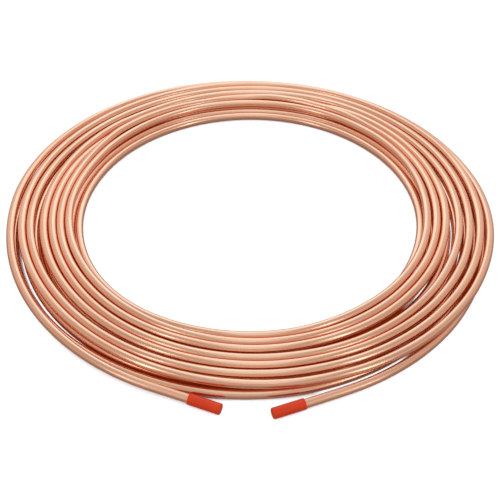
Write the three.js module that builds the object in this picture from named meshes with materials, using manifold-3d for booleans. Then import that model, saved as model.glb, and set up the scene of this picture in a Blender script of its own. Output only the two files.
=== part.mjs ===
// Two-layer coil of soft copper tube, lying flat, with a push-on plastic cap on each loose end.
// Millimetres, +Z up. The origin is on the floor, in the middle of the space that the coil and
// its loose ends take up.

import * as THREE from "three";
import { mergeVertices } from "three/addons/utils/BufferGeometryUtils.js";
import Module from "manifold-3d";

// Tube stock: quarter-inch soft copper.
const tubeDiameter = 6.35;
const tubeWall = 0.762;
const tubeSides = 12;
const tubeBoreSides = 8;

// Winding. The lower layer lies on the floor, the upper one over the grooves between its turns.
const boreRadius = 130;
const lowerTurns = 8;
const turnGap = 1.05;
const turnSides = 10;
const coilSegments = 50;

// Loose ends. Azimuths are in degrees, counter-clockwise from +X as seen from above.
const upperTailLeaves = -24;
const upperTailLands = 34;
const upperTailClimbs = 88;
const upperTailRides = 142;
const upperTailSinks = 218;
const upperTailSunk = 254;
const upperTailEnds = 264.3;
const lowerTailLeaves = 342;
const lowerTailFree = 300;
const lowerTailEnds = 274.7;
const tailGap = 0.6;
const capGapToTurns = 1.4;
const flareAngle = 8;
const straightBeforeCap = 6.5;
const liftAngle = 26;
const tailStepAngle = 7;
const boreOvershoot = 1;

// End caps.
const capLength = 23;
const capWall = 0.45;
const capEndThickness = 1;
const capClearance = 0.25;
const capEndGap = 0.5;
const capEdgeRadius = 0.9;
const capEdgeSteps = 3;
const capSides = 28;

// Worked out from the sizes above.
const tubeRadius = tubeDiameter / 2;
const tubeBoreRadius = tubeRadius - tubeWall;
const turnPitch = tubeDiameter + turnGap;
const upperTurns = lowerTurns - 1;
const lowerHeight = tubeRadius;
const nestAngle = Math.PI - Math.acos(turnPitch / 2 / tubeDiameter);
const upperHeight = lowerHeight + tubeDiameter * Math.sin(nestAngle);
const firstLowerRadius = boreRadius + tubeRadius;
const firstUpperRadius = firstLowerRadius + turnPitch / 2;
const lastLowerRadius = firstLowerRadius + (lowerTurns - 1) * turnPitch;
const lastUpperRadius = firstUpperRadius + (upperTurns - 1) * turnPitch;
const capRadius = tubeRadius + capClearance + capWall;
const capCover = capLength - capEndThickness - capEndGap;
const straightLength = straightBeforeCap + capCover;
const besideRadius = lastLowerRadius + tubeDiameter + tailGap;
const endRadius = lastLowerRadius + tubeRadius + capGapToTurns + capRadius;
const straightAngle = THREE.MathUtils.radToDeg(straightLength / endRadius);
const rideAngle = nestAngle - Math.acos(tubeDiameter / 2 / (tubeDiameter + tailGap));

const wasm = await Module();
wasm.setup();

const radians = THREE.MathUtils.degToRad;
const { lerp, smoothstep } = THREE.MathUtils;

// A closed geometry as a solid that can be joined and cut.
function solidOf(geometry) {
  geometry.deleteAttribute("normal");
  geometry.deleteAttribute("uv");
  const merged = mergeVertices(geometry, 1e-4);
  const vertProperties = new Float32Array(merged.attributes.position.array);
  const triVerts = new Uint32Array(merged.index.array);
  return new wasm.Manifold(new wasm.Mesh({ numProp: 3, vertProperties, triVerts }));
}

function geometryOf(solid) {
  const { vertProperties, triVerts } = solid.getMesh();
  const geometry = new THREE.BufferGeometry();
  geometry.setAttribute("position", new THREE.BufferAttribute(vertProperties, 3));
  geometry.setIndex(new THREE.BufferAttribute(triVerts, 1));
  return geometry;
}

// The one body of a solid, without the crumbs and pinholes where a tail grazes the turns.
function wholeBody(solid) {
  return solid.decompose().reduce((best, body) => (body.volume() > best.volume() ? body : best));
}

// One corner of a turn's section, in the radius and height plane. The sides touch the real
// circle, so that a turn lies on the floor with a flat.
function turnCorner(radius, height, step) {
  const angle = (step * 2 * Math.PI) / turnSides;
  const reach = tubeRadius / Math.cos(Math.PI / turnSides);
  return new THREE.Vector2(radius + reach * Math.cos(angle), height + reach * Math.sin(angle));
}

function turnArc(radius, height, firstStep, lastStep) {
  const corners = [];
  for (let step = firstStep; step <= lastStep; step++) {
    corners.push(turnCorner(radius, height, step));
  }
  return corners;
}

// The outline of the winding's section: the undersides of the lower turns, the outer shoulder,
// the crowns of the upper turns and the inner shoulder. The layers meet at a notch on each side.
function coilProfile() {
  const half = turnSides / 2;
  const layersMeet = (lowerHeight + upperHeight) / 2;
  const points = [];
  for (let k = 0; k < lowerTurns; k++) {
    points.push(...turnArc(firstLowerRadius + k * turnPitch, lowerHeight, half, 2 * half));
  }
  points.push(...turnArc(lastLowerRadius, lowerHeight, 1, half - 2));
  points.push(new THREE.Vector2((lastLowerRadius + lastUpperRadius) / 2, layersMeet));
  points.push(turnCorner(lastUpperRadius, upperHeight, -1));
  for (let k = upperTurns - 1; k >= 0; k--) {
    points.push(...turnArc(firstUpperRadius + k * turnPitch, upperHeight, 0, half));
  }
  points.push(turnCorner(firstUpperRadius, upperHeight, half + 1));
  points.push(new THREE.Vector2((firstLowerRadius + firstUpperRadius) / 2, layersMeet));
  points.push(...turnArc(firstLowerRadius, lowerHeight, 2, half));
  return points;
}

function windingSolid() {
  const geometry = new THREE.LatheGeometry(coilProfile(), coilSegments);
  geometry.rotateX(Math.PI / 2);
  return solidOf(geometry);
}

function polar(radius, azimuth, height) {
  const angle = radians(azimuth);
  return new THREE.Vector3(radius * Math.cos(angle), radius * Math.sin(angle), height);
}

// What the last stretch before the straight end adds to a tail's radius and height. It turns away
// from the coil, and the thicker cap lifts it off the floor.
function endBend(degreesToStraight) {
  const flared = Math.max(0, 1 - degreesToStraight / flareAngle) ** 2;
  const lifted = 1 - smoothstep(degreesToStraight, 0, liftAngle);
  return { out: (endRadius - besideRadius) * flared, up: (capRadius - tubeRadius) * lifted };
}

// Where the upper layer's outer end lies round the last lower turn, from 0 beside it on the
// floor. It rolls over that turn to the floor, climbs back until it rests between that turn and
// the last upper one, and sinks to the floor again.
function upperTailAngle(azimuth) {
  if (azimuth < upperTailClimbs) {
    return nestAngle * (1 - smoothstep(azimuth, upperTailLeaves, upperTailLands));
  }
  const climbed = smoothstep(azimuth, upperTailClimbs, upperTailRides);
  const sunk = smoothstep(azimuth, upperTailSinks, upperTailSunk);
  return rideAngle * (climbed - sunk);
}

function upperTailBend(azimuth) {
  const angle = upperTailAngle(azimuth);
  const apart = smoothstep(azimuth, upperTailLeaves, (upperTailLeaves + upperTailLands) / 2);
  const reach = tubeDiameter + tailGap * apart;
  const { out, up } = endBend(upperTailEnds - straightAngle - azimuth);
  const radius = lastLowerRadius + reach * Math.cos(angle) + out;
  return polar(radius, azimuth, lowerHeight + reach * Math.sin(angle) + up);
}

// The lower layer's outer end leaves its turn slowly and stays on the floor.
function lowerTailBend(azimuth) {
  const beside = 1 - smoothstep(azimuth, lowerTailFree, lowerTailLeaves);
  const { out, up } = endBend(azimuth - lowerTailEnds - straightAngle);
  const radius = lerp(lastLowerRadius, besideRadius, beside) + out;
  return polar(radius, azimuth, lowerHeight + up);
}

// A tail follows its bend and then runs straight and level through its cap. The curve's parameter
// is the length along the coil's outside, counted as azimuth.
class TailPath extends THREE.Curve {
  constructor(bend, from, to, tubeEnd) {
    super();
    Object.assign(this, { bend, from, to });
    this.turn = Math.sign(to - from);
    this.straightFrom = tubeEnd - this.turn * straightAngle;
    this.straightStart = bend(this.straightFrom);
    this.direction = this.straightStart.clone().sub(bend(this.straightFrom - this.turn));
    this.direction.setZ(0).normalize();
  }

  getPoint(t) {
    const azimuth = lerp(this.from, this.to, t);
    const past = this.turn * (azimuth - this.straightFrom);
    if (past <= 0) {
      return this.bend(azimuth);
    }
    return this.straightStart.clone().addScaledVector(this.direction, radians(past) * endRadius);
  }
}

function rodAlong(path, radius, sides) {
  const section = new THREE.Shape();
  section.absarc(0, 0, radius, 0, 2 * Math.PI);
  const steps = Math.ceil(Math.abs(path.to - path.from) / tailStepAngle);
  const options = { steps, curveSegments: sides / 2, extrudePath: path };
  return solidOf(new THREE.ExtrudeGeometry(section, options));
}

const tails = [
  {
    cap: "end_cap_left",
    bend: upperTailBend,
    leaves: upperTailLeaves,
    boreFrom: upperTailLands,
    ends: upperTailEnds,
  },
  {
    cap: "end_cap_right",
    bend: lowerTailBend,
    leaves: lowerTailLeaves,
    boreFrom: lowerTailFree,
    ends: lowerTailEnds,
  },
];

function copperTubeCoil() {
  let solid = windingSolid();
  for (const tail of tails) {
    tail.path = new TailPath(tail.bend, tail.leaves, tail.ends, tail.ends);
    solid = solid.add(rodAlong(tail.path, tubeRadius, tubeSides));
  }
  for (const tail of tails) {
    const past = tail.ends + Math.sign(tail.ends - tail.leaves) * boreOvershoot;
    const borePath = new TailPath(tail.bend, tail.boreFrom, past, tail.ends);
    solid = solid.subtract(rodAlong(borePath, tubeBoreRadius, tubeBoreSides));
  }
  const copper = new THREE.MeshStandardMaterial({ color: 0xd98b68, roughness: 0.32, metalness: 1 });
  const mesh = new THREE.Mesh(geometryOf(wholeBody(solid)), copper);
  mesh.name = "copper_tube_coil";
  return mesh;
}

// The cap's wall, turned about Y: the mouth at 0 and the closed end with its rounded edge.
function capProfile() {
  const innerRadius = capRadius - capWall;
  const floorHeight = capLength - capEndThickness;
  const points = [new THREE.Vector2(0, floorHeight), new THREE.Vector2(innerRadius, floorHeight)];
  points.push(new THREE.Vector2(innerRadius, 0), new THREE.Vector2(capRadius, 0));
  for (let i = 0; i <= capEdgeSteps; i++) {
    const angle = ((Math.PI / 2) * i) / capEdgeSteps;
    const radius = capRadius - capEdgeRadius * (1 - Math.cos(angle));
    points.push(new THREE.Vector2(radius, capLength - capEdgeRadius * (1 - Math.sin(angle))));
  }
  points.push(new THREE.Vector2(0, capLength));
  return points;
}

function endCap(tail) {
  const plastic = new THREE.MeshStandardMaterial({ color: 0xe8421c, roughness: 0.42, metalness: 0 });
  const mesh = new THREE.Mesh(new THREE.LatheGeometry(capProfile(), capSides), plastic);
  mesh.position.copy(tail.path.getPoint(1)).addScaledVector(tail.path.direction, -capCover);
  mesh.quaternion.setFromUnitVectors(new THREE.Vector3(0, 1, 0), tail.path.direction);
  mesh.name = tail.cap;
  return mesh;
}

const coil = new THREE.Group();
coil.add(copperTubeCoil());
for (const tail of tails) {
  coil.add(endCap(tail));
}
const middle = new THREE.Box3().setFromObject(coil, true).getCenter(new THREE.Vector3());
coil.position.set(-middle.x, -middle.y, 0);

export default coil;
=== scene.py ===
import math

import bpy
import numpy as np
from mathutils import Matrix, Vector


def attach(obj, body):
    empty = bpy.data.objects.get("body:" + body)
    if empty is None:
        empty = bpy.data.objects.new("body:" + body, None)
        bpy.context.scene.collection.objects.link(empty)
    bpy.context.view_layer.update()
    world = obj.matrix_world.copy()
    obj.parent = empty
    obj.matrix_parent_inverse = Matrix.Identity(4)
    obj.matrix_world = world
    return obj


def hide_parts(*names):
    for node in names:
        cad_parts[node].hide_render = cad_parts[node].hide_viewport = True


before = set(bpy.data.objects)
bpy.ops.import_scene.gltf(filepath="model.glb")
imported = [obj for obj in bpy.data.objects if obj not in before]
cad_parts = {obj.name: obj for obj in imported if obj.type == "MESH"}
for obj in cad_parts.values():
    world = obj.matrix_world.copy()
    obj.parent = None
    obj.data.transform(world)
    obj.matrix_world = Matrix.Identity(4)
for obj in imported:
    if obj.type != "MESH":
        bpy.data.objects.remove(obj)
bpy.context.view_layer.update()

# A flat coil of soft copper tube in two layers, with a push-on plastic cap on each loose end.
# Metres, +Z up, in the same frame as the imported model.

mm = 0.001


# Camera: stands in front of the coil and looks down at it. Lens and sensor are in mm.

camera = {
    "aim": (1.36 * mm, -7.6 * mm, 0.0),
    "distance": 0.827,
    "elevation": 40.81,     # degrees above the floor
    "sensor": 36.0,
    "lens": 75.53,
    "shiftX": -0.0022,
    "shiftY": -0.0427,
    "clip": (0.01, 20.0),
}


def setCamera(s):
    # on a circle round the aim point, at the given height above the floor, looking along +Y
    data = bpy.data.cameras.new("camera")
    data.sensor_width = s["sensor"]
    data.lens = s["lens"]
    data.shift_x = s["shiftX"]
    data.shift_y = s["shiftY"]
    data.clip_start, data.clip_end = s["clip"]
    cam = bpy.data.objects.new("camera", data)
    bpy.context.scene.collection.objects.link(cam)
    up = math.radians(s["elevation"])
    back = Vector((0.0, -math.cos(up), math.sin(up)))
    cam.location = Vector(s["aim"]) + back * s["distance"]
    cam.rotation_euler = (math.pi / 2 - up, 0.0, 0.0)
    bpy.context.scene.camera = cam


setCamera(camera)
bpy.context.scene.view_settings.view_transform = "Standard"
print("camera set")


# Node helpers.

def addNode(tree, kind, **settings):
    node = tree.nodes.new(kind)
    for key, value in settings.items():
        setattr(node, key, value)
    return node


def join(tree, fromSocket, toSocket):
    tree.links.new(fromSocket, toSocket)


def mathNode(tree, operation, first, second=None):
    # a sum, product or other step; each input is a socket or a number
    node = addNode(tree, "ShaderNodeMath", operation=operation)
    for slot, value in zip(node.inputs, (first, second)):
        if value is None:
            continue
        if isinstance(value, (int, float)):
            slot.default_value = value
        else:
            join(tree, value, slot)
    return node.outputs[0]


def rampNode(tree, factor, stops):
    # stops are (place, colour) pairs, colours as three numbers
    node = addNode(tree, "ShaderNodeValToRGB")
    ramp = node.color_ramp
    while len(ramp.elements) < len(stops):
        ramp.elements.new(0.5)
    for element, (place, colour) in zip(ramp.elements, stops):
        element.position = place
        element.color = (*colour, 1.0)
    join(tree, factor, node.inputs["Fac"])
    return node.outputs["Color"]


def mixColour(tree, factor, first, second):
    # first where the factor is 0, second where it is 1; a colour is a socket or three numbers
    node = addNode(tree, "ShaderNodeMix", data_type="RGBA")
    factorIn, firstIn, secondIn = (node.inputs[k] for k in (0, 6, 7))
    join(tree, factor, factorIn)
    for slot, value in ((firstIn, first), (secondIn, second)):
        if isinstance(value, tuple):
            slot.default_value = (*value, 1.0)
        else:
            join(tree, value, slot)
    return node.outputs[2]


def smoothStep(tree, value, low, high):
    # 0 below low, 1 above high, smooth between; with low above high it falls instead
    node = addNode(tree, "ShaderNodeMapRange", interpolation_type="SMOOTHSTEP")
    node.inputs["From Min"].default_value = low
    node.inputs["From Max"].default_value = high
    join(tree, value, node.inputs["Value"])
    return node.outputs["Result"]


# Node groups: the effects that the copper and the caps share.

def newGroup(name, inputs, outputs):
    # an empty shader node group; its sockets are (name, kind) pairs
    group = bpy.data.node_groups.new(name, "ShaderNodeTree")
    for socket, kind in inputs:
        group.interface.new_socket(socket, in_out="INPUT", socket_type="NodeSocket" + kind)
    for socket, kind in outputs:
        group.interface.new_socket(socket, in_out="OUTPUT", socket_type="NodeSocket" + kind)
    return group, addNode(group, "NodeGroupInput").outputs, addNode(group, "NodeGroupOutput").inputs


def placeGroup(tree, group, place, values):
    # a group in a material, on the material's own coordinates and with its own values
    node = addNode(tree, "ShaderNodeGroup", node_tree=group)
    join(tree, place, node.inputs["Place"])
    for socket, value in values.items():
        node.inputs[socket].default_value = value
    return node.outputs


def noiseIn(group, given):
    # noise at the place times the fineness in each direction
    scaled = addNode(group, "ShaderNodeVectorMath", operation="MULTIPLY")
    join(group, given["Place"], scaled.inputs[0])
    join(group, given["Fineness"], scaled.inputs[1])
    noise = addNode(group, "ShaderNodeTexNoise")
    noise.inputs["Scale"].default_value = 1.0
    join(group, scaled.outputs[0], noise.inputs["Vector"])
    join(group, given["Detail"], noise.inputs["Detail"])
    return noise.outputs[0]


def makeMottle():
    # soft clouds of colour: dull where the noise is below Low, full above High, a blend between
    group, given, out = newGroup("mottle", [
        ("Place", "Vector"), ("Fineness", "Vector"), ("Detail", "Float"),
        ("Low", "Float"), ("High", "Float"), ("Dull", "Color"), ("Full", "Color"),
    ], [("Colour", "Color")])
    part = addNode(group, "ShaderNodeMapRange")
    join(group, noiseIn(group, given), part.inputs["Value"])
    join(group, given["Low"], part.inputs["From Min"])
    join(group, given["High"], part.inputs["From Max"])
    blend = mixColour(group, part.outputs["Result"], given["Dull"], given["Full"])
    join(group, blend, out["Colour"])
    return group


def makeGrain():
    # fine grain: roughness = noise x Spread + Smoothest, and the noise itself as a height
    group, given, out = newGroup("grain", [
        ("Place", "Vector"), ("Fineness", "Vector"), ("Detail", "Float"),
        ("Smoothest", "Float"), ("Spread", "Float"),
    ], [("Roughness", "Float"), ("Height", "Float")])
    noise = noiseIn(group, given)
    rough = addNode(group, "ShaderNodeMath", operation="MULTIPLY_ADD")
    join(group, noise, rough.inputs[0])
    join(group, given["Spread"], rough.inputs[1])
    join(group, given["Smoothest"], rough.inputs[2])
    join(group, rough.outputs[0], out["Roughness"])
    join(group, noise, out["Height"])
    return group


mottle = makeMottle()
grain = makeGrain()
print("node groups made")


def newMaterial(name):
    material = bpy.data.materials.new(name)
    material.use_nodes = True
    material.node_tree.nodes.clear()
    return material, material.node_tree


def addBump(tree, height, strength, shader):
    # fine relief on a shader, a tenth of a millimetre deep at full strength
    bump = addNode(tree, "ShaderNodeBump")
    bump.inputs["Strength"].default_value = strength
    bump.inputs["Distance"].default_value = 0.1 * mm
    join(tree, height, bump.inputs["Height"])
    join(tree, bump.outputs[0], shader.inputs["Normal"])


# Studio: a wide pale floor and soft lamps. The camera sees the floor and what is beyond it as
# plain white, apart from the coil's shadow. The copper shows a dimmer, warmer room. Under the coil,
# stretches of floor carry painted light, painted shade and a faint painted red glow.

studio = {
    "floorRadius": 4.0,
    "floorColour": (0.42, 0.345, 0.30),
    "glowColour": (0.93, 0.97, 1.0),        # makes up for the floor's own warm colour
    "floorGlow": 0.92,          # as the camera sees it
    "floorGlowInMetal": 0.10,   # and as it shows in the copper
    "rearGlowInMetal": 0.45,    # more of it behind the coil:
    "rearFloor": (0.03, 0.12),      # metres of Y over which it comes on,
    "outsideCoil": (0.180, 0.190),  # and metres from the coil's axis
    "shadowReach": 0.015,       # metres over which the floor's glow is shut off by what is near:
    "shadowEdges": (0.08, 0.34),    # all of it at the first open share, none at the second
    "shadowSamples": 6,
    "paintedLitGaps": [               # stretches of painted light, where the gaps under the coil are kept light:
        (190, 232, 178.2, 179.8),   # azimuth in degrees from and to, radius in mm from and to
        (282, 308, 180, 190),
        (318, 327, 151.2, 152.4),
        (321, 333, 149.8, 151.2),
        (331, 338, 134, 139),
        (343, 362, 157, 164),
        (340, 350, 164, 177),
    ],
    "paintedShadeGaps": [             # and stretches of painted shade, where they are kept all in shade
        (116, 160, 184, 191),
        (156, 174, 184, 189.3),
        (186, 216, 138, 168),
        (188, 236, 170, 178.2),
        (208, 236, 179.8, 186),
        (228, 276, 172, 181),
        (284, 321, 145, 158),
        (324, 342, 160, 176),
        (318, 346, 177, 186),
        (336, 376, 140, 154),
    ],
    "gapFade": 4,               # degrees over which either begins and ends
    "gapGlow": (0.13, 0.013, 0.002),    # painted glow on the floor in shade, for red light the turns throw down between them
    "gapShadeColour": (0.20, 0.028, 0.008),  # painted shade: the floor's colour where it is in shade, a dark copper red
    "backdrop": (1.0, 1.0, 1.0),    # beyond the floor, as the camera sees it
    "room": [                   # what the copper shows, by the height of the direction,
        (0.0, (0.47, 0.33, 0.27)),
        (0.35, (0.68, 0.575, 0.545)),
        (0.80, (0.52, 0.505, 0.485)),
    ],
    "roomBack": (0.80, 0.79, 0.80),     # and towards the back,
    "rearEdge": (0.25, 0.65),       # which begins between these parts of the direction's Y
    "lowEdge": (0.0, 0.4),          # and of its Z
    "lamps": [
        # name, middle, point it faces, size across and up, colour, watts
        ("left", (-0.78, -0.78, 0.50), (0, 0, 0), (0.15, 0.75), (0.80, 1.0, 1.06), 0.9),
        ("right", (0.78, -0.78, 0.50), (0, 0, 0), (0.15, 0.75), (0.80, 1.0, 1.06), 0.9),
    ],
    "softBoxes": [              # these only show in what shines
        ("back", (-0.02, 0.39, 0.415), (-0.02, -0.10, 0.34), (0.38, 0.78),
         (0.70, 1.0, 1.14), 0.52),
        ("over", (0.0, -0.15, 1.0), (0, 0, 0), (0.38, 1.2), (0.76, 1.0, 1.10), 0.72),
    ],
}


def inGap(tree, turn, away, gap, fade):
    # 1 on a piece of ring of the floor, fading at its two ends and cut off sharp at its sides
    start, end, near, far = gap
    middle = math.radians((start + end) / 2)
    half = math.radians((end - start) / 2)
    off = mathNode(tree, "PINGPONG", mathNode(tree, "SUBTRACT", turn, middle), math.pi)
    off = smoothStep(tree, off, half, half - math.radians(fade))
    ring = mathNode(tree, "ABSOLUTE", mathNode(tree, "SUBTRACT", away, (near + far) / 2 * mm))
    ring = mathNode(tree, "LESS_THAN", ring, (far - near) / 2 * mm)
    return mathNode(tree, "MULTIPLY", off, ring)


def scaledColour(tree, colour, factor):
    # a plain colour times a number that changes over the surface
    node = addNode(tree, "ShaderNodeVectorMath", operation="SCALE")
    node.inputs[0].default_value = colour
    join(tree, factor, node.inputs["Scale"])
    return node.outputs[0]


def addFloor(s):
    # one face with its corners on a circle: (radius x cos t, radius x sin t, 0)
    count = 96
    turn = np.linspace(0, 2 * np.pi, count, endpoint=False)
    rim = np.stack([np.cos(turn), np.sin(turn), 0 * turn], 1) * s["floorRadius"]
    mesh = bpy.data.meshes.new("studio_floor")
    mesh.from_pydata(rim.tolist(), [], [list(range(count))])
    floor = bpy.data.objects.new("studio_floor", mesh)
    bpy.context.scene.collection.objects.link(floor)
    material, tree = newMaterial("studioFloor")
    out = addNode(tree, "ShaderNodeOutputMaterial")
    paint = addNode(tree, "ShaderNodeBsdfDiffuse")
    glow = addNode(tree, "ShaderNodeEmission")
    place = addNode(tree, "ShaderNodeTexCoord")
    centred = addNode(tree, "ShaderNodeMapping", vector_type="POINT")
    axisX, axisY = winding["axis"]
    centred.inputs["Location"].default_value = (-axisX * mm, -axisY * mm, 0)
    join(tree, place.outputs["Object"], centred.inputs["Vector"])
    split = addNode(tree, "ShaderNodeSeparateXYZ")
    join(tree, centred.outputs[0], split.inputs[0])
    turn = mathNode(tree, "ARCTAN2", split.outputs["Y"], split.outputs["X"])
    shade = addNode(tree, "ShaderNodeAmbientOcclusion", samples=s["shadowSamples"])
    shade.inputs["Distance"].default_value = s["shadowReach"]
    light = smoothStep(tree, shade.outputs["AO"], *s["shadowEdges"])
    length = addNode(tree, "ShaderNodeVectorMath", operation="LENGTH")
    join(tree, centred.outputs[0], length.inputs[0])
    away = length.outputs["Value"]
    # painted light and painted shade: set stretches of the floor under the coil are kept light or
    # dark, whatever light reaches them
    for gap in s["paintedLitGaps"]:
        light = mathNode(tree, "MAXIMUM", light, inGap(tree, turn, away, gap, s["gapFade"]))
    for gap in s["paintedShadeGaps"]:
        shut = inGap(tree, turn, away, gap, s["gapFade"])
        light = mathNode(tree, "MULTIPLY", light, mathNode(tree, "SUBTRACT", 1.0, shut))
    # painted shade: the floor's colour turns dark copper red where it is shaded or in a stretch of
    # painted shade
    join(tree, mixColour(tree, light, s["gapShadeColour"], s["floorColour"]), paint.inputs["Color"])
    ray = addNode(tree, "ShaderNodeLightPath")
    glossy, through = ray.outputs["Is Glossy Ray"], ray.outputs["Is Transmission Ray"]
    metal = mathNode(tree, "MAXIMUM", glossy, through)
    rear = smoothStep(tree, split.outputs["Y"], *s["rearFloor"])
    outside = smoothStep(tree, away, *s["outsideCoil"])
    rear = mathNode(tree, "MULTIPLY", rear, outside)
    rear = mathNode(tree, "MULTIPLY", rear, s["rearGlowInMetal"])
    metal = mathNode(tree, "MULTIPLY", metal, mathNode(tree, "ADD", rear, s["floorGlowInMetal"]))
    direct = mathNode(tree, "MULTIPLY", ray.outputs["Is Camera Ray"], s["floorGlow"])
    strength = mathNode(tree, "MULTIPLY", mathNode(tree, "ADD", direct, metal), light)
    total = addNode(tree, "ShaderNodeVectorMath", operation="ADD")
    join(tree, scaledColour(tree, s["glowColour"], strength), total.inputs[0])
    # painted glow: the floor glows faint red where it is in shade, for light thrown down by the
    # turns
    dark = mathNode(tree, "SUBTRACT", 1.0, light)
    join(tree, scaledColour(tree, s["gapGlow"], dark), total.inputs[1])
    join(tree, total.outputs[0], glow.inputs["Color"])
    both = addNode(tree, "ShaderNodeAddShader")
    join(tree, paint.outputs[0], both.inputs[0])
    join(tree, glow.outputs[0], both.inputs[1])
    join(tree, both.outputs[0], out.inputs["Surface"])
    mesh.materials.append(material)


def addWorld(s):
    # the room round the object: a colour for each height, and a brighter one at the back
    world = bpy.data.worlds.new("studio")
    bpy.context.scene.world = world
    world.use_nodes = True
    tree = world.node_tree
    tree.nodes.clear()
    out = addNode(tree, "ShaderNodeOutputWorld")
    back = addNode(tree, "ShaderNodeBackground")
    place = addNode(tree, "ShaderNodeTexCoord")
    split = addNode(tree, "ShaderNodeSeparateXYZ")
    join(tree, place.outputs["Generated"], split.inputs[0])
    rear = smoothStep(tree, split.outputs["Y"], *s["rearEdge"])
    rear = mathNode(tree, "MULTIPLY", rear, smoothStep(tree, split.outputs["Z"], *s["lowEdge"]))
    room = mixColour(tree, rear, rampNode(tree, split.outputs["Z"], s["room"]), s["roomBack"])
    ray = addNode(tree, "ShaderNodeLightPath")
    seen = mixColour(tree, ray.outputs["Is Camera Ray"], room, s["backdrop"])
    join(tree, seen, back.inputs["Color"])
    join(tree, back.outputs[0], out.inputs["Surface"])


def addLamp(name, place, target, size, colour, watts):
    data = bpy.data.lights.new("lamp_" + name, "AREA")
    data.shape = "RECTANGLE"
    data.size, data.size_y = size
    data.color = colour
    data.energy = watts
    lamp = bpy.data.objects.new("lamp_" + name, data)
    bpy.context.scene.collection.objects.link(lamp)
    lamp.location = place
    facing = Vector(place) - Vector(target)
    lamp.rotation_euler = facing.to_track_quat("Z", "Y").to_euler()
    lamp.visible_camera = False
    return lamp


def addLamps(s):
    for lamp in s["lamps"]:
        addLamp(*lamp)
    for box in s["softBoxes"]:
        addLamp(*box).visible_diffuse = False


# Copper. The clouds and streaks run on the attribute "drawn": length along the tube, then the two
# directions across it, so that they follow the tube round the coil without a seam. Painted shade
# and a painted red glow between turns run on the attribute "crevice", the duller ends on "scuffed".

copperLook = {
    "colour": (0.97, 0.573, 0.398),
    "tarnish": (0.925, 0.512, 0.345),
    "cloudFineness": (22.0, 160.0, 160.0),  # per metre along the tube and across it
    "cloudDetail": 4.0,
    "cloudEdges": (0.38, 0.58),
    "streakFineness": (6.0, 2600.0, 2600.0),
    "streakDetail": 3.0,
    "streakBump": 0.04,
    "smoothest": 0.19,          # roughness of the brightest streaks,
    "roughnessSpread": 0.08,    # and how much duller the others are
    "scuffRoughness": 0.24,     # added where the tube is scuffed
    "creviceRoughness": 0.5,    # added where the next turn touches
    "creviceEdges": (0.35, 0.8),    # from a narrow gap to the next turn to a touch
    # painted shade: the copper darkens to a deep red towards the next turn, deepest where turns
    # touch
    "creviceShadeColour": (0.84, 0.150, 0.030),
    "touchShadeColour": (0.43, 0.045, 0.008),
    # painted glow: a faint red emission towards the next turn, for light that bounced many times
    "creviceGlow": (0.030, 0.003, 0.0006),  # red left over from light that bounced many times
    "touchGlow": (0.008, 0.0006, 0.0002),
}


def makeCopper(s):
    material, tree = newMaterial("drawnCopper")
    out = addNode(tree, "ShaderNodeOutputMaterial")
    metal = addNode(tree, "ShaderNodeBsdfPrincipled")
    metal.inputs["Metallic"].default_value = 1.0
    metal.inputs["Emission Strength"].default_value = 1.0
    drawn = addNode(tree, "ShaderNodeAttribute", attribute_name="drawn").outputs["Vector"]
    low, high = s["cloudEdges"]
    toned = placeGroup(tree, mottle, drawn, {
        "Fineness": s["cloudFineness"], "Detail": s["cloudDetail"], "Low": low, "High": high,
        "Dull": (*s["tarnish"], 1.0), "Full": (*s["colour"], 1.0),
    })["Colour"]
    streaks = placeGroup(tree, grain, drawn, {
        "Fineness": s["streakFineness"], "Detail": s["streakDetail"],
        "Smoothest": s["smoothest"], "Spread": s["roughnessSpread"],
    })
    # painted shade and painted glow between turns, by how near the next turn is
    near = addNode(tree, "ShaderNodeAttribute", attribute_name="crevice").outputs["Fac"]
    gap, touch = s["creviceEdges"]
    inside = rampNode(tree, near, [(gap, s["creviceShadeColour"]), (touch, s["touchShadeColour"])])
    join(tree, mixColour(tree, near, toned, inside), metal.inputs["Base Color"])
    # painted glow: faint red emission towards the next turn, for light that bounced between turns
    stops = [(0.0, (0, 0, 0)), (gap, s["creviceGlow"]), (touch, s["touchGlow"])]
    glow = rampNode(tree, near, stops)
    join(tree, glow, metal.inputs["Emission Color"])
    scuffed = addNode(tree, "ShaderNodeAttribute", attribute_name="scuffed").outputs["Fac"]
    rough = streaks["Roughness"]
    for where, added in ((near, s["creviceRoughness"]), (scuffed, s["scuffRoughness"])):
        rough = mathNode(tree, "ADD", rough, mathNode(tree, "MULTIPLY", where, added))
    join(tree, rough, metal.inputs["Roughness"])
    addBump(tree, streaks["Height"], s["streakBump"], metal)
    join(tree, metal.outputs[0], out.inputs["Surface"])
    return material


copper = makeCopper(copperLook)


# Winding. Each row below is one turn of the tube, as the distance of its middle from the coil's
# axis in mm, every 30 degrees from +X, counter-clockwise as seen from above. The tube comes in at
# the right cap, runs as seven turns on the floor from the outside in, climbs onto them at the bore
# and runs back out in their grooves. Its seventh upper turn goes down over the outside, lies on
# the floor at the back and rises once more on its way to the left cap.

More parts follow.
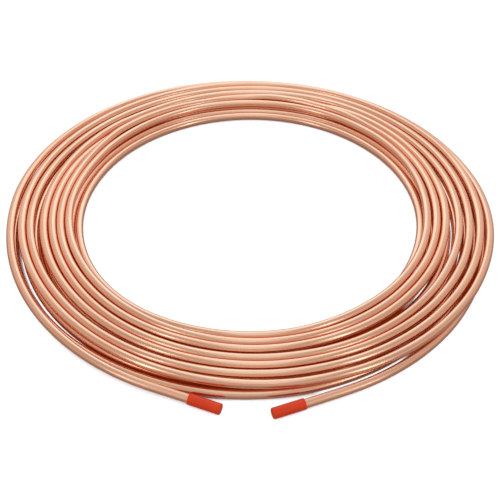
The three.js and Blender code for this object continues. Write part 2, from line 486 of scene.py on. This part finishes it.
winding = {
    "axis": (0.33, 3.39),
    "tubeDiameter": 6.35,
    "stationStep": 30,
    "rightTail": [
        (281, 194.5), (285, 192.4), (292, 190.4), (300, 189.0), (315, 186.8), (330, 184.4),
    ],
    "lowerTurns": [
        [182.4, 183.2, 184.2, 184.4, 184.2, 184.5, 184.2, 184.4, 183.6, 183.0, 180.1, 176.8],
        [175.8, 176.8, 177.8, 178.1, 178.0, 177.9, 176.8, 175.8, 175.5, 173.8, 171.5, 169.6],
        [168.8, 170.4, 171.4, 171.7, 171.6, 170.4, 168.2, 167.6, 166.5, 165.3, 163.8, 162.6],
        [162.0, 164.0, 165.0, 165.3, 165.0, 162.8, 161.0, 160.8, 159.2, 157.6, 156.2, 155.3],
        [154.3, 153.2, 152.5, 152.4, 152.0, 150.6, 149.6, 149.0, 147.8, 146.3, 145.3, 144.2],
        [142.6, 144.0, 145.6, 146.0, 145.4, 142.7, 141.2, 140.0, 139.0, 137.2, 136.0, 134.0],
        [135.0, 137.3, 139.0, 139.6, 138.4, 136.6, 134.9, 134.1, 133.7, 135.8, 135.3, 137.0],
    ],
    "upperTurns": [
        [140.0, 145.5, 149.2, 150.6, 148.8, 145.2, 142.3, 139.5, 139.9, 142.0, 142.5, 144.0],
        [147.4, 152.4, 155.3, 159.0, 154.9, 151.4, 148.8, 146.5, 146.4, 147.3, 149.0, 150.5],
        [154.4, 158.7, 161.2, 159.3, 158.6, 157.3, 155.2, 153.0, 154.4, 156.5, 159.0, 161.0],
        [164.4, 166.2, 166.8, 166.7, 163.8, 162.2, 161.6, 160.0, 160.4, 162.4, 165.4, 169.2],
        [172.2, 174.0, 173.8, 173.3, 171.8, 172.2, 172.0, 168.9, 169.0, 170.5, 173.7, 177.3],
        [180.4, 182.2, 181.2, 181.0, 179.8, 180.3, 178.8, 175.3, 175.9, 179.2, 182.6, 185.6],
        [187.8, 189.9, 190.2, 191.2, 194.2, 192.9, 187.1, 187.3, 189.4],
    ],
    "between": [                # upper row, azimuth, distance: stations off the 30 degree grid
        (1, 75, 157.3), (1, 135, 154.4), (2, 75, 161.4), (2, 135, 158.4),
    ],
    "leftTail": [(249, 190.0), (254, 190.6), (257, 191.7)],
    "leftTailHeight": [         # azimuth, mm from the floor to the tube's middle
        (100, 3.2), (130, 3.3), (148, 4.0), (165, 6.6), (180, 8.8), (195, 9.4), (210, 9.2),
        (220, 8.6), (230, 7.7), (240, 6.9), (249, 6.05), (257, 5.2),
    ],
    "upperHeight": 9.3,         # mm from the floor to the middle of the upper layer
    "climb": (205, 285),        # degrees, in the last lower turn
    "dive": (-20, 30),          # degrees, as the last upper turn goes over the outside
    "sunkTurn": 2,              # the upper row that drops between two lower turns at the back,
    "sinks": (52, 92),          # degrees over which it goes down
    "surfaces": (95, 170),      # and comes up again
    "rides": [                  # degrees over which the row inside it climbs on it and gets off
        ((45, 60), (80, 95)),
        ((100, 120), (140, 165)),
    ],
    "rideHeight": 1.9,
    "capLift": 0.75,            # mm that a cap lifts its tube off the floor,
    "capLiftOver": (2, 18),     # degrees from the cap over which the tube comes down
    "step": 2.0,                # degrees between points of the path
    "rounds": 300,              # of settling; the last ones only close what still overlaps
    "closingRounds": 40,
    "sag": 0.12,                # mm that the tube sinks in a round,
    "closingSag": 0.02,
    "heldPull": 0.25,           # share of the way back to its station in a round,
    "loosePull": 0.06,          # where the lower layer may be pushed about,
    "closingPull": 0.2,         # and how much of either is left in the closing rounds
    "heldOutside": 700,         # degrees of the path up to which the outer turns are held,
    "heldInside": (-360, 240),  # and degrees about the end of the lower layer that are, too
    "upperFrom": 3.0,           # mm above the lower layer from which a point counts as upper
    "smoothOver": 10,           # degrees to each side
    "smoothing": 0.5,           # share of the way to the smoothed line in a round
    "play": 0.02,               # mm between turns that touch
    "pushShare": 1.2,           # how much of its half of a push each turn gives way by
    "contacts": 3,              # pushes in a round,
    "closingContacts": 2,
    "rightStraight": 22.4,      # mm of straight tube at either end, inside the cap
    "leftStraight": 24.8,
    "leftDrop": 0.05,           # mm down per mm along the left one
    "straightPoints": 7,
    "sides": 24,
    "wall": 0.762,
    "boreSeen": 14.0,           # mm of bore modelled in each end
    "scuffed": (12, 75),        # mm from a cap's mouth over which the scuffs thin out
    "creviceReach": 0.45,       # mm of gap over which the painted shade darkens the copper towards the next turn
}


def naturalCubic(x, y, at):
    # a cubic between each two stations, joined with one slope and one bending, which is nothing
    # at the two ends: bend x distance cubed / 6 from either side, plus a straight line
    n = len(x)
    h = np.diff(x)
    system = np.zeros((n, n))
    right = np.zeros(n)
    system[0, 0] = system[-1, -1] = 1.0
    i = np.arange(1, n - 1)
    system[i, i - 1] = h[:-1]
    system[i, i + 1] = h[1:]
    system[i, i] = 2 * (h[:-1] + h[1:])
    right[1:-1] = 6 * ((y[2:] - y[1:-1]) / h[1:] - (y[1:-1] - y[:-2]) / h[:-1])
    bend = np.linalg.solve(system, right)
    k = np.clip(np.searchsorted(x, at) - 1, 0, n - 2)
    gap = h[k]
    u = at - x[k]
    v = x[k + 1] - at
    curve = (bend[k] * v ** 3 + bend[k + 1] * u ** 3) / (6 * gap)
    curve = curve + (y[k] / gap - bend[k] * gap / 6) * v
    return curve + (y[k + 1] / gap - bend[k + 1] * gap / 6) * u


def easeBetween(value, start, end):
    # 0 before start, 1 after end, smooth between
    t = np.clip((value - start) / (end - start), 0, 1)
    return t * t * (3 - 2 * t)


def layStations(s):
    # all rows one after another, on one angle that keeps growing by 360 degrees a turn;
    # both tails count from the start of their own turn
    rows = [(0, s["rightTail"])]
    step = s["stationStep"]
    turns = s["lowerTurns"] + s["upperTurns"]
    for k, turn in enumerate(turns):
        rows.append((360 * (k + 1), [(step * i, r) for i, r in enumerate(turn)]))
    for k, at, r in s["between"]:
        rows.append((360 * (len(s["lowerTurns"]) + 1 + k), [(at, r)]))
    rows.append((360 * len(turns), s["leftTail"]))
    angle = np.array([base + a for base, row in rows for a, r in row], float)
    radius = np.array([r for base, row in rows for a, r in row], float)
    order = np.argsort(angle, kind="stable")
    return angle[order], radius[order]


def settleTube(s):
    # Every point of the path moves only across the coil and up or down. In each round it sinks a
    # little, leans back towards its station's radius, is smoothed along the tube, and is pushed
    # off every other turn that it touches, along the line between the two middles.
    stationAngle, stationRadius = layStations(s)
    angle = np.arange(stationAngle[0], stationAngle[-1] + 1e-6, s["step"])
    wanted = naturalCubic(stationAngle, stationRadius, angle)
    lowerEnd = 360 * len(s["lowerTurns"])
    upperEnd = lowerEnd + 360 * len(s["upperTurns"])
    ground = s["tubeDiameter"] / 2

    def ease(base, span):
        return easeBetween(angle, base + span[0], base + span[1])

    # the lowest height of each point: lower layer, climb, upper layer with its sunk turn, tail
    sunkFrom = lowerEnd + 360 * (1 + s["sunkTurn"])
    sunk = ease(sunkFrom, s["sinks"]) - ease(sunkFrom, s["surfaces"])
    raised = ease(lowerEnd, s["climb"]) * (1 - ease(upperEnd, s["dive"])) * (1 - sunk)
    lowest = ground + (s["upperHeight"] - ground) * raised
    for on, off in s["rides"]:
        lowest += s["rideHeight"] * (ease(sunkFrom - 360, on) - ease(sunkFrom - 360, off))
    lowest += s["capLift"] * (1 - ease(angle[0], s["capLiftOver"]))
    tailAngle, tailHeight = np.array(s["leftTailHeight"], float).T
    tail = angle >= upperEnd + tailAngle[0]
    lowest[tail] = naturalCubic(tailAngle + upperEnd, tailHeight, angle[tail])

    radius = wanted.copy()
    height = lowest.copy()
    pull = np.where(height > ground + s["upperFrom"], s["heldPull"], s["loosePull"])
    pull[angle <= s["heldOutside"]] = s["heldPull"]
    heldFrom, heldTo = lowerEnd + np.array(s["heldInside"])
    pull[(angle >= heldFrom) & (angle <= heldTo)] = s["heldPull"]
    perTurn = int(round(360 / s["step"]))
    offsets = range(perTurn, len(angle), perTurn)
    reach = int(s["smoothOver"] / s["step"])
    weights = np.hanning(2 * reach + 3)[1:-1]
    weights /= weights.sum()

    def smoothed(values):
        ends = np.full(reach, values[0]), np.full(reach, values[-1])
        return np.convolve(np.concatenate([ends[0], values, ends[1]]), weights, "valid")

    def pushApart(radius, height):
        moveOut, moveUp, hits = np.zeros((3, len(radius)))
        for o in offsets:
            across = radius[o:] - radius[:-o]
            above = height[o:] - height[:-o]
            apart = np.hypot(across, above) + 1e-6
            push = np.maximum(s["tubeDiameter"] + s["play"] - apart, 0)
            for move, part in ((moveOut, across), (moveUp, above)):
                move[o:] += part / apart * push / 2
                move[:-o] -= part / apart * push / 2
            hits[o:] += push > 0
            hits[:-o] += push > 0
        share = s["pushShare"] / np.sqrt(np.maximum(1, hits))
        return radius + moveOut * share, np.maximum(height + moveUp * share, lowest)

    for number in range(s["rounds"]):
        closing = number > s["rounds"] - s["closingRounds"]
        height = height - (s["closingSag"] if closing else s["sag"])
        radius = radius + (wanted - radius) * pull * (s["closingPull"] if closing else 1.0)
        if not closing:
            height = height + s["smoothing"] * (smoothed(height) - height)
            radius = radius + s["smoothing"] * (smoothed(radius - wanted) + wanted - radius)
        for _ in range(s["closingContacts"] if closing else s["contacts"]):
            radius, height = pushApart(radius, height)
    return angle, radius, height


def windingPath(s):
    # axis + radius x (cos t, sin t) at the settled height, then straight on through each cap
    angle, radius, height = settleTube(s)
    turn = np.radians(angle)
    path = np.stack([
        s["axis"][0] + radius * np.cos(turn),
        s["axis"][1] + radius * np.sin(turn),
        height,
    ], 1)
    first = path[0] - path[1]
    last = path[-1] - path[-2]
    first[2] = 0
    last[2] = -s["leftDrop"] * np.linalg.norm(last[:2])
    first /= np.linalg.norm(first)
    last /= np.linalg.norm(last)
    before = np.linspace(0, s["rightStraight"], s["straightPoints"])[:0:-1, None]
    after = np.linspace(0, s["leftStraight"], s["straightPoints"])[1:, None]
    path = np.concatenate([path[0] + first * before, path, path[-1] + last * after])
    return path, first, last


def ringAxes(ahead, sides):
    # unit circles square to a direction: cos a x side + sin a x up, where side is level; and a
    side = np.cross(ahead, (0, 0, 1))
    side /= np.linalg.norm(side, axis=-1, keepdims=True)
    up = np.cross(side, ahead)
    a = np.linspace(0, 2 * np.pi, sides, endpoint=False)
    return np.cos(a)[:, None] * side[..., None, :] + np.sin(a)[:, None] * up[..., None, :], a


def carryRing(centres, radius, sides):
    # a circle carried along a path: centre + radius x unit circle square to the path
    ahead = np.gradient(centres, axis=0)
    ahead /= np.linalg.norm(ahead, axis=1, keepdims=True)
    ring, a = ringAxes(ahead, sides)
    return centres[:, None] + ring * radius, a


def gridFaces(rows, columns):
    # quads of a grid whose columns close on themselves
    i = np.arange(rows - 1)[:, None]
    j = np.arange(columns)[None, :]
    k = (j + 1) % columns
    low, high = i * columns, (i + 1) * columns
    return np.stack([low + j, low + k, high + k, high + j], 2).reshape(-1, 4)


def putMesh(name, points, faces, material, drawn=None, shades=None):
    # points on a grid, faces as rows of point numbers; drawn and shades are values at each point
    mesh = bpy.data.meshes.new(name)
    mesh.from_pydata(points.reshape(-1, 3).tolist(), [], faces)
    mesh.polygons.foreach_set("use_smooth", np.ones(len(mesh.polygons), bool))
    if drawn is not None:
        field = mesh.attributes.new("drawn", "FLOAT_VECTOR", "POINT")
        field.data.foreach_set("vector", drawn.reshape(-1).astype(np.float32))
    for shade, values in (shades or {}).items():
        field = mesh.attributes.new(shade, "FLOAT", "POINT")
        field.data.foreach_set("value", values.reshape(-1).astype(np.float32))
    mesh.materials.append(material)
    mesh.update()
    mesh.validate()
    piece = bpy.data.objects.new(name, mesh)
    bpy.context.scene.collection.objects.link(piece)
    return piece


def crevices(s, centres, points):
    # how near every point of the tube's surface lies to the next turn: 1 where they touch, falling
    # off as e to the power -(gap / reach), with the gap measured across the tube
    perTurn = int(round(360 / s["step"]))
    radius = s["tubeDiameter"] / 2
    axis = np.array(s["axis"])
    across = np.linalg.norm(points[..., :2] - axis, axis=-1)
    up = points[..., 2]
    middle = np.linalg.norm(centres[:, :2] - axis, axis=-1)
    nearest = np.full(across.shape, np.inf)
    for o in range(perTurn, len(centres), perTurn):
        gap = np.hypot(across[o:] - middle[:-o, None], up[o:] - centres[:-o, 2:]) - radius
        nearest[o:] = np.minimum(nearest[o:], gap)
        gap = np.hypot(across[:-o] - middle[o:, None], up[:-o] - centres[o:, 2:]) - radius
        nearest[:-o] = np.minimum(nearest[:-o], gap)
    return np.exp(-np.maximum(nearest, 0) / s["creviceReach"])


def makeTube(s):
    # the ring carried along the path, then in over the wall at each end and down the bore
    path, first, last = windingPath(s)
    along = np.concatenate([[0], np.cumsum(np.linalg.norm(np.diff(path, axis=0), axis=1))])
    outer = s["tubeDiameter"] / 2
    points, a = carryRing(path, outer, s["sides"])
    # how near the next turn is: the mask of the painted shade and painted glow between turns
    narrow = crevices(s, path, points)
    inner = outer - s["wall"]
    startRings, endRings = [], []
    for depth, radius in ((0, inner), (s["boreSeen"], inner), (s["boreSeen"], inner / 3)):
        shift = (points[0] - path[0]) * radius / outer
        startRings.insert(0, path[0] - first * depth + shift)
        shift = (points[-1] - path[-1]) * radius / outer
        endRings.append(path[-1] - last * depth + shift)
    added = len(endRings)
    points = np.concatenate([startRings, points, endRings])
    rows, columns = points.shape[:2]
    narrow = np.pad(narrow, ((added, added), (0, 0)), constant_values=1)
    along = np.pad(along, added, mode="edge")
    faces = gridFaces(rows, columns).tolist()
    faces.append(list(range(columns - 1, -1, -1)))
    faces.append([(rows - 1) * columns + j for j in range(columns)])
    drawn = np.zeros(points.shape)
    drawn[..., 0] = along[:, None]
    drawn[..., 1] = outer * np.cos(a)
    drawn[..., 2] = outer * np.sin(a)
    # the last stretches before the caps are scuffed from handling
    fromEnd = np.minimum(along, along[-1] - along) - s["rightStraight"]
    scuffed = np.repeat(1 - easeBetween(fromEnd, *s["scuffed"]), columns)
    shades = {"crevice": narrow, "scuffed": scuffed}
    tube = putMesh("tube_winding", points * mm, faces, copper, drawn * mm, shades)
    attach(tube, "root")
    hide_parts("copper_tube_coil")
    print("tube length", round(along[-1] * mm, 2), "m, top", round(points[..., 2].max(), 2), "mm")
    return {"left": (path[-1], last), "right": (path[0], first)}


tubeEnds = makeTube(winding)
print("winding made")
addFloor(studio)
addWorld(studio)
addLamps(studio)
print("studio set")


# End caps: a moulded sleeve with a rounded closed end and a soft lip at its mouth.

cap = {
    "length": 23.0,
    "wall": 0.45,
    "endThickness": 1.0,
    "clearance": 0.25,          # mm all round the tube
    "endGap": 0.5,              # mm from the tube's end to the closed end
    "edgeRadius": 0.9,
    "edgePoints": 9,
    "lipRadius": 0.18,
    "lipPoints": 5,
    "boreRings": (21.0, 2.0),           # mm from the mouth; they keep the shading of the walls
    "outsideRings": (2.0, 8.0, 11.5, 19.0),
    "poleRadius": 0.01,
    "sides": 64,
    "colour": (1.0, 0.070, 0.010),
    "dullColour": (0.93, 0.0616, 0.009),
    "cloudFineness": (120.0, 120.0, 120.0),     # per metre
    "cloudDetail": 2.0,
    "cloudEdges": (0.35, 0.65),
    "grainFineness": (900.0, 900.0, 900.0),
    "grainDetail": 3.0,
    "grainBump": 0.12,
    "smoothest": 0.32,
    "roughnessSpread": 0.16,
    "specular": 0.3,
}


def makePlastic(s):
    material, tree = newMaterial("capPlastic")
    out = addNode(tree, "ShaderNodeOutputMaterial")
    plastic = addNode(tree, "ShaderNodeBsdfPrincipled")
    plastic.inputs["Specular IOR Level"].default_value = s["specular"]
    place = addNode(tree, "ShaderNodeTexCoord").outputs["Object"]
    low, high = s["cloudEdges"]
    toned = placeGroup(tree, mottle, place, {
        "Fineness": s["cloudFineness"], "Detail": s["cloudDetail"], "Low": low, "High": high,
        "Dull": (*s["dullColour"], 1.0), "Full": (*s["colour"], 1.0),
    })["Colour"]
    join(tree, toned, plastic.inputs["Base Color"])
    skin = placeGroup(tree, grain, place, {
        "Fineness": s["grainFineness"], "Detail": s["grainDetail"],
        "Smoothest": s["smoothest"], "Spread": s["roughnessSpread"],
    })
    join(tree, skin["Roughness"], plastic.inputs["Roughness"])
    addBump(tree, skin["Height"], s["grainBump"], plastic)
    join(tree, plastic.outputs[0], out.inputs["Surface"])
    return material


capPlastic = makePlastic(cap)


def capProfile(s, tubeRadius):
    # (distance along the axis from the mouth, radius): from the middle of the inner floor out and
    # down the bore, over the lip in two quarter circles, along the outside, round the edge in a
    # quarter circle and in to the middle of the closed end
    inner = tubeRadius + s["clearance"]
    outer = inner + s["wall"]
    floorAt = s["length"] - s["endThickness"]
    lip = s["lipRadius"]
    edge = s["edgeRadius"]
    pole = s["poleRadius"]
    q = np.linspace(0, np.pi / 2, s["lipPoints"])
    e = np.linspace(0, np.pi / 2, s["edgePoints"])
    depth = np.concatenate([
        [floorAt] * 3, s["boreRings"],
        lip - lip * np.sin(q), lip - lip * np.cos(q),
        s["outsideRings"],
        s["length"] - edge + edge * np.sin(e),
        [s["length"]] * 2,
    ])
    radius = np.concatenate([
        [pole, inner / 2, inner], [inner] * len(s["boreRings"]),
        inner + lip - lip * np.cos(q), outer - lip + lip * np.sin(q),
        [outer] * len(s["outsideRings"]),
        outer - edge + edge * np.cos(e),
        [(outer - edge) / 2, pole],
    ])
    return depth, radius


def makeCap(name, node, end, direction, s):
    # the profile turned about the tube's end: mouth + depth x direction + radius x unit circle
    depth, radius = capProfile(s, winding["tubeDiameter"] / 2)
    mouth = end - direction * (s["length"] - s["endThickness"] - s["endGap"])
    ring = ringAxes(direction, s["sides"])[0]
    points = mouth + depth[:, None, None] * direction + radius[:, None, None] * ring
    rows, columns = points.shape[:2]
    faces = gridFaces(rows, columns)[:, ::-1].tolist()
    faces.append(list(range(columns)))
    faces.append([(rows - 1) * columns + j for j in range(columns - 1, -1, -1)])
    piece = putMesh(name, points * mm, faces, capPlastic)
    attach(piece, "root")
    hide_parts(node)


makeCap("cap_left", "end_cap_left", *tubeEnds["left"], cap)
makeCap("cap_right", "end_cap_right", *tubeEnds["right"], cap)
print("caps made")
